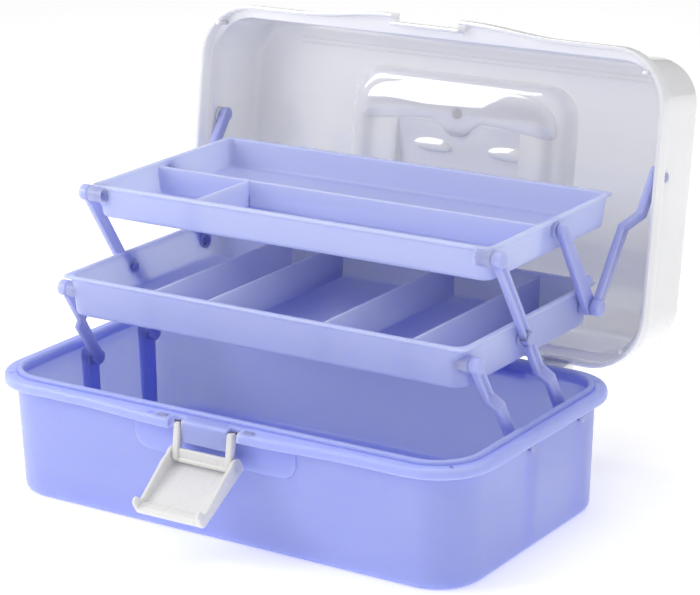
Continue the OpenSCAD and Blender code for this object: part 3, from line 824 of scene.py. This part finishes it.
def lid_stations():
    """Profile of the lid, from the middle of its outside round its rim to its inside."""
    wall = 2 * LID_WALL
    band_top = LID_Z + LID_BAND
    top_l, top_w = BODY_L - 2.4, BODY_W - 2.4
    ceiling = LID_TOP - LID_WALL
    return [
        (top_l - 40, top_w - 40, 8, LID_TOP, 0),
        (top_l, top_w, 26, LID_TOP, 5.5),
        (BODY_L, BODY_W, 27, band_top, 0.5),
        (RIM_L, RIM_W, RIM_R, band_top, 1.2),
        (RIM_L, RIM_W, RIM_R, LID_Z, 0.5),
        (RIM_L - wall, RIM_W - wall, RIM_R - LID_WALL, LID_Z, 0.5),
        (RIM_L - wall, RIM_W - wall, RIM_R - LID_WALL, band_top - LID_WALL, 0.8),
        (BODY_L - wall, BODY_W - wall, 24.6, band_top - LID_WALL + 0.8, 0.8),
        (top_l - wall, top_w - wall, 23.6, ceiling, 4.5),
        (top_l - wall - 36, top_w - wall - 36, 8, ceiling, 0)]


def recess_solid(name, grow, low, high):
    """The block that sinks the handle's bay into the lid."""
    half_l, half_w = RECESS_HALF + grow, (RECESS_Y1 - RECESS_Y0) / 2 + grow
    middle = (RECESS_Y0 + RECESS_Y1) / 2
    stations = [
        (2 * half_l - 60, 2 * half_w - 50, 4, low, 0),
        (2 * half_l - 17, 2 * half_w - 8, 17, low, 3.4),
        (2 * half_l, 2 * half_w, 21, high, 0)]
    return shell(stations, OPEN_LID @ Matrix.Translation((0, middle, 0)), name, steps=5)


def island_solid(name, inset, below, above):
    """The middle of the bay, which slopes up to meet the top of the lid."""
    floor = LID_TOP - RECESS_D - inset
    top = LID_TOP - 0.1 - inset
    start = RECESS_Y0 + 25 + inset * 0.9
    end = RECESS_Y1 + 3 - inset
    outline = [(start, floor - below), (start, floor),
               (start + (top - floor) / ISLAND_SLOPE, top + above),
               (end, top + above), (end, floor - below)]
    return prism(name, outline, ISLAND_X0 + inset, ISLAND_X1 - inset, "X", OPEN_LID)


def make_lid():
    """The lid: shell, handle recess, raised panel, ribs, and bores through its walls."""
    lid = shell(lid_stations(), OPEN_LID, "lid_shell_body", xs=rim_xs((LID_NOTCH,)),
                front=lid_front)
    floor = LID_TOP - RECESS_D
    combine(lid, [recess_solid("bay", 2, floor - LID_WALL, LID_TOP - 1.2)])
    hollow = recess_solid("bay_cut", 0, floor, LID_TOP + 1.5)
    combine(hollow, [island_solid("rise", 0, 2, 0)], "DIFFERENCE")
    ramp = island_solid("ramp", LID_WALL, LID_WALL + 2, 0)
    soften(ramp, 1.2, 3)
    combine(lid, [hollow, ramp], "DIFFERENCE")

    inner = floor - LID_WALL
    ceiling = LID_TOP - LID_WALL
    moon = both_ways([(0, -54.0), (25, -53.5), (50, -51.2), (61, -46.0), (66.3, -38), (66.3, -27.4),
                      (44, -30.2), (18, -33.0), (11, -29.5), (6, -24.0), (0, -23.2)])
    panel = prism("panel", smooth(moon), inner - 0.75, inner + 1, "Z", OPEN_LID)
    pads = [panel]
    for x0, x1 in ((-31, -4), (20, 47)):
        pad = smooth([(x0, -15.5), (x0 + 4, -19.6), (x1 - 8, -20.8), (x1 - 1, -17.5), (x1, -12.6),
                      (x0 + 8, -12.6)])
        pads.append(prism("pad", pad, inner + 1.6, inner + 5.5, "Z", OPEN_LID))
    for pad in pads:
        soften(pad, 0.35, 2)
    for y in (-70.4, -67.6):
        rib = [(y - 0.45, ceiling + 0.5), (y - 0.3, ceiling - 0.45), (y + 0.3, ceiling - 0.45),
               (y + 0.45, ceiling + 0.5)]
        pads.append(prism("rib", rib, -118, 118, "X", OPEN_LID))
    combine(lid, pads)
    bores = []
    for at, radius, x0, x1 in ((LID_PIVOT, BORE_R, LID_PLANE_OUT, RIM_L / 2),
                               (pivot("handle_hinge"), HANDLE_BORE_R, 65, 71)):
        for place in (OPEN_LID, OPEN_LID @ MIRROR):
            bores.append(lathe("bore", tube(radius, x0, x1), closed_point(at).yz, place=place))
    combine(lid, bores, "DIFFERENCE")
    place_piece(lid, "lid", "lid_plastic", "lid_shell")

    gate = prism("lid_gate_mark", circle(0, -36.6, 3, 36), inner - 0.95, inner - 0.7, "Z", OPEN_LID)
    place_piece(gate, "lid", "white_plastic")
    make_lid_fittings()


def make_lid_fittings():
    """Hinge knuckles, arm posts, handle lugs and corner pegs of the lid."""
    closed_pivot = closed_point(LID_PIVOT)
    closed_handle = closed_point(pivot("handle_hinge"))
    for side, label in ((1, "right"), (-1, "left")):
        place = OPEN_LID if side > 0 else OPEN_LID @ MIRROR
        for k, x0 in enumerate((56.0, 95.4)):
            x1 = x0 + 16.6
            knuckle = lathe("knuckle", button(KNUCKLE_R, x0, x1, 0.5, 0.5), HINGE, place=place)
            web = prism("web", [(88.8, LID_Z + 0.2), (90, 64.5), (92.5, 63),
                                (HINGE.x + 3.3, HINGE.y + 1), (HINGE.x + 3.2, LID_Z + 0.5),
                                (90.2, LID_Z + 7.6), (88.8, LID_Z + 7.6)],
                        x0 + 0.2, x1 - 0.2, "X", place)
            bore = lathe("bore", tube(HINGE_BORE_R, x0 - 1, x1 + 1), HINGE, place=place)
            knuckle.name = f"lid_knuckle_{label}_{k + 1}"
            combine(knuckle, [web])
            combine(knuckle, [bore], "DIFFERENCE")
            place_piece(soften(knuckle, 0.25, 2, 50), "lid", "lid_plastic")

        profile = button(PIVOT_BOSS_R, BODY_L / 2 - 1, LID_PLANE_OUT + ARM_T + 0.3, 0.7)
        post = lathe(f"lid_post_{label}", profile, closed_pivot.yz, place=place)
        hole = lathe("hole", tube(BORE_R, LID_PLANE_OUT, RIM_L / 2), closed_pivot.yz, place=place)
        combine(post, [hole], "DIFFERENCE")
        place_piece(post, "lid", "lid_plastic")

        at = closed_handle
        lug = block("lug", (66.4, at.y - 5, LID_TOP - RECESS_D - 1),
                    (70.4, at.y + 5, at.z + 2.8), place)
        hole = lathe("hole", tube(HANDLE_BORE_R, 60, 75), at.yz, place=place)
        soften(lug, 1.2, 3)
        lug.name = f"lid_handle_lug_{label}"
        combine(lug, [hole], "DIFFERENCE")
        place_piece(lug, "lid", "lid_plastic")

        for end in (-1, 1):
            spot = math.cos(math.radians(45)) * (RIM_R - 4)
            x, y = RIM_L / 2 - RIM_R + spot, end * (RIM_W / 2 - RIM_R + spot)
            peg = prism("peg", circle(x, y, 1.1, 24), LID_Z - 2.4, LID_Z + 8, "Z", place)
            peg.name = f"lid_peg_{label}_{'rear' if end > 0 else 'front'}"
            place_piece(soften(peg, 0.3, 2, 50), "lid", "lid_plastic")


# ---------------------------------------------------------------- carry handle, drawn closed

def make_handle():
    """The carry handle, with a pin at each end."""
    closed = closed_point(pivot("handle_hinge"))
    handle = solid("carry_handle_body", handle_shape(closed), OPEN_LID)
    pins = []
    for side in (1, -1):
        place = OPEN_LID if side > 0 else OPEN_LID @ MIRROR
        pins.append(lathe("end", button(2.8, 57, 66, 0.5, 0.5), closed.yz, place=place))
        pins.append(lathe("pin", button(2.2, 64, 70, 0.5), closed.yz, place=place))
    combine(handle, pins)
    place_piece(handle, "handle", "white_plastic", "carry_handle")


def handle_shape(closed):
    """A rounded D, swept as one row of sections: two arms and a wider grip."""
    outer, grip, arm, bend, thick = 66.0, 13.0, 9.0, 15.0, 5.6
    middle_x = outer - arm / 2
    middle_y = closed.y - 62.0 + grip / 2
    side = [(closed.y - (closed.y - middle_y - bend) * k / 4, arm) for k in range(5)]
    right = [(middle_x, y, width) for y, width in side]
    turn = []
    for k in range(1, 13):
        a = math.radians(90 * k / 12)
        turn.append((middle_x - bend + bend * math.cos(a), middle_y + bend - bend * math.sin(a),
                     arm + (grip - arm) * k / 12))
    half = right + turn
    route = [(-x, y, width) for x, y, width in half] + list(reversed(half))
    rings = []
    for i, (x, y, width) in enumerate(route):
        before, after = route[max(i - 1, 0)], route[min(i + 1, len(route) - 1)]
        along = Vector((after[0] - before[0], after[1] - before[1])).normalized()
        w, t, edge = width / 2, thick / 2, 2.2
        outline = (arc(-w + edge, -t + edge, edge, 180, 270)
                   + arc(w - edge, -t + edge, edge, 270, 360)
                   + arc(w - edge, t - edge, edge, 0, 90)
                   + arc(-w + edge, t - edge, edge, 90, 180))
        rings.append([(x - along.y * v, y + along.x * v, closed.z + h) for v, h in outline])
    return loft(rings)


# ---------------------------------------------------------------- latch

LINK_PIVOT = pivot("latch_link_hinge")
LEVER_PIVOT = pivot("latch_lever_hinge")
LINK_X = 15.1
LINK_T = 3.9
LINK_PIN = 1.5
LEVER_HALF = 21.5
LEVER_L = 38.0
LEVER_DROP = 30.0


def make_latch_link():
    """Two round-topped bars that hang from the rim, joined by a crossbar."""
    y, z = LEVER_PIVOT
    parts = []
    for side in (1, -1):
        flip = Matrix.Identity(4) if side > 0 else MIRROR
        lean = LINK_PIVOT.x
        outline = (arc(lean, LINK_PIVOT.y - 0.9, 2.4, 20, 160, 10) + arc(y, z, 2.75, 180, 360, 10)
                   + [(y + 2.2, z + 6), (lean + 2.0, LINK_PIVOT.y - 4)])
        bar_piece = prism("bar", outline, LINK_X, LINK_X + LINK_T, "X", flip)
        parts.append(soften(bar_piece, 0.9, 4))
        parts.append(lathe("pin", button(LINK_PIN, LINK_X + 1, LEVER_HALF - 0.5, 0.3), (y, z),
                           place=flip))
    low, high = z - 2.4, z + 5.0
    section = [(y + 1.4, low + 0.5), (y + 1.4, high - 0.4), (y - 0.4, high), (y - 1.1, high - 0.7),
               (y - 1.2, low + 2.4), (y - 1.9, low + 1.4), (y - 1.9, low)]
    crossbar = soften(prism("crossbar", section, -LINK_X - 0.8, LINK_X + 0.8, "X"), 0.3, 3, 20)
    link = parts[0]
    link.name = "latch_link_body"
    combine(link, parts[1:] + [crossbar])
    bore = tube(LINK_PIN + 0.05, LINK_X - 1, LINK_X + LINK_T - 0.9)
    holes = [lathe("hole", bore, LINK_PIVOT, place=flip) for flip in (Matrix.Identity(4), MIRROR)]
    combine(link, holes, "DIFFERENCE")
    place_piece(link, "latch_link", "white_plastic", "latch_link")


def make_latch_lever():
    """A shallow scoop with low side walls, a thick lip and a hook at each far corner."""
    place = (Matrix.Translation((0, LEVER_PIVOT.x, LEVER_PIVOT.y))
             @ Matrix.Rotation(math.radians(180 + LEVER_DROP), 4, "X")
             @ Matrix.Scale(-1, 4, (0, 0, 1)))
    low, wall = -5.5, 2.3
    lip = LEVER_L - 6.2
    plate = prism("plate", [(-3.8, low + 0.6), (-3.2, low), (LEVER_L - 1.5, low),
                            (LEVER_L, low + 1.6),
                            (LEVER_L, -1.2), (LEVER_L - 1.2, 0.1), (lip + 1.4, -0.6), (lip, -1.8),
                            (lip - 1.4, low + 2.1), (-3.8, low + 2.2)],
                  -LEVER_HALF + 0.3, LEVER_HALF - 0.3, "X", place)
    parts = [soften(plate, 0.45, 3, 20)]
    side_outline = ([(-5.4, -2.4), (-4.6, low + 1), (-3, low), (LEVER_L - 1.6, low),
                     (LEVER_L, low + 1.8), (LEVER_L, 3.4), (LEVER_L - 2.2, 5.2),
                     (LEVER_L - 4.2, 4.6), (LEVER_L - 5.2, 1.2), (LEVER_L - 7.4, 0.3), (8, 4.1)]
                    + arc(-0.6, 0, 5.0, 55, 180, 9))
    for side in (1, -1):
        flip = Matrix.Identity(4) if side > 0 else MIRROR
        flank = prism("flank", side_outline, LEVER_HALF - wall, LEVER_HALF, "X", flip @ place)
        parts.append(soften(flank, 0.8, 4))
    lever = parts[0]
    lever.name = "latch_lever_body"
    combine(lever, parts[1:])
    bore = tube(LINK_PIN + 0.05, LINK_X, LEVER_HALF - 0.4)
    holes = [lathe("hole", bore, LEVER_PIVOT, place=flip) for flip in (Matrix.Identity(4), MIRROR)]
    combine(lever, holes, "DIFFERENCE")
    place_piece(lever, "latch_lever", "white_plastic", "latch_lever")


# ---------------------------------------------------------------- stage

def make_stage():
    """The white floor under the box."""
    far = 6000
    floor = solid("floor", ([(-far, -far, 0), (far, -far, 0), (far, far, 0), (-far, far, 0)],
                            [(0, 1, 2, 3)]))
    material, nodes, links, shader = new_material("floor_paper")
    where = nodes.new("ShaderNodeTexCoord").outputs["Object"]
    grain = noise(nodes, links, where, 3)
    links.new(ramp(nodes, links, grain, (0.93, 0.93, 0.93), (0.95, 0.95, 0.95)),
              shader.inputs["Base Color"])
    shader.inputs["Roughness"].default_value = 0.9
    shader.inputs["Specular IOR Level"].default_value = 0.1
    shader.inputs["Emission Color"].default_value = (1, 1, 1, 1)
    shader.inputs["Emission Strength"].default_value = 0.35
    floor.data.materials.append(material)


def area_light(name, place, target, size, power):
    """A rectangular light aimed at target, hidden from the camera."""
    lamp = bpy.data.lights.new(name, "AREA")
    lamp.shape = "RECTANGLE"
    lamp.size, lamp.size_y = size
    lamp.energy = power
    holder = bpy.data.objects.new(name, lamp)
    bpy.context.scene.collection.objects.link(holder)
    holder.location = place
    away = Vector(target) - Vector(place)
    holder.rotation_euler = away.to_track_quat("-Z", "Y").to_euler()
    holder.visible_camera = False


def make_lights():
    """A key light from the front left, a large light overhead, and a white surround."""
    world = bpy.data.worlds.new("studio")
    bpy.context.scene.world = world
    world.use_nodes = True
    background = world.node_tree.nodes["Background"]
    background.inputs["Color"].default_value = (1, 1, 1, 1)
    background.inputs["Strength"].default_value = 0.50
    area_light("key", (-0.65, -0.65, 0.55), (-0.05, 0, 0.08), (0.5, 0.5), 4.0)
    area_light("top", (0.0, 0.1, 1.9), (0, 0, 0.05), (1.6, 1.6), 14)
    bpy.context.scene.view_settings.view_transform = "Standard"


def make_camera():
    """The photograph's viewing angle: seen from the front right, a little from above."""
    azimuth, elevation, roll = math.radians(33.33), math.radians(17.03), math.radians(0.68)
    place = Vector((0.7601, -1.1069, 0.5253))
    back = Vector((math.sin(azimuth) * math.cos(elevation),
                   -math.cos(azimuth) * math.cos(elevation), math.sin(elevation)))
    right = Vector((math.cos(azimuth), math.sin(azimuth), 0))
    up = back.cross(right)
    right_rolled = right * math.cos(roll) - up * math.sin(roll)
    up_rolled = up * math.cos(roll) + right * math.sin(roll)
    data = bpy.data.cameras.new("camera")
    data.sensor_width = 36
    data.lens = 132.6
    camera = bpy.data.objects.new("camera", data)
    bpy.context.scene.collection.objects.link(camera)
    turn = Matrix((right_rolled, up_rolled, back)).transposed().to_4x4()
    camera.matrix_world = Matrix.Translation(place) @ turn
    bpy.context.scene.camera = camera


make_camera()
make_lights()
make_stage()
make_tub()
make_middle_tray()
make_top_tray()
make_arms()
make_lid()
make_handle()
make_latch_link()
make_latch_lever()
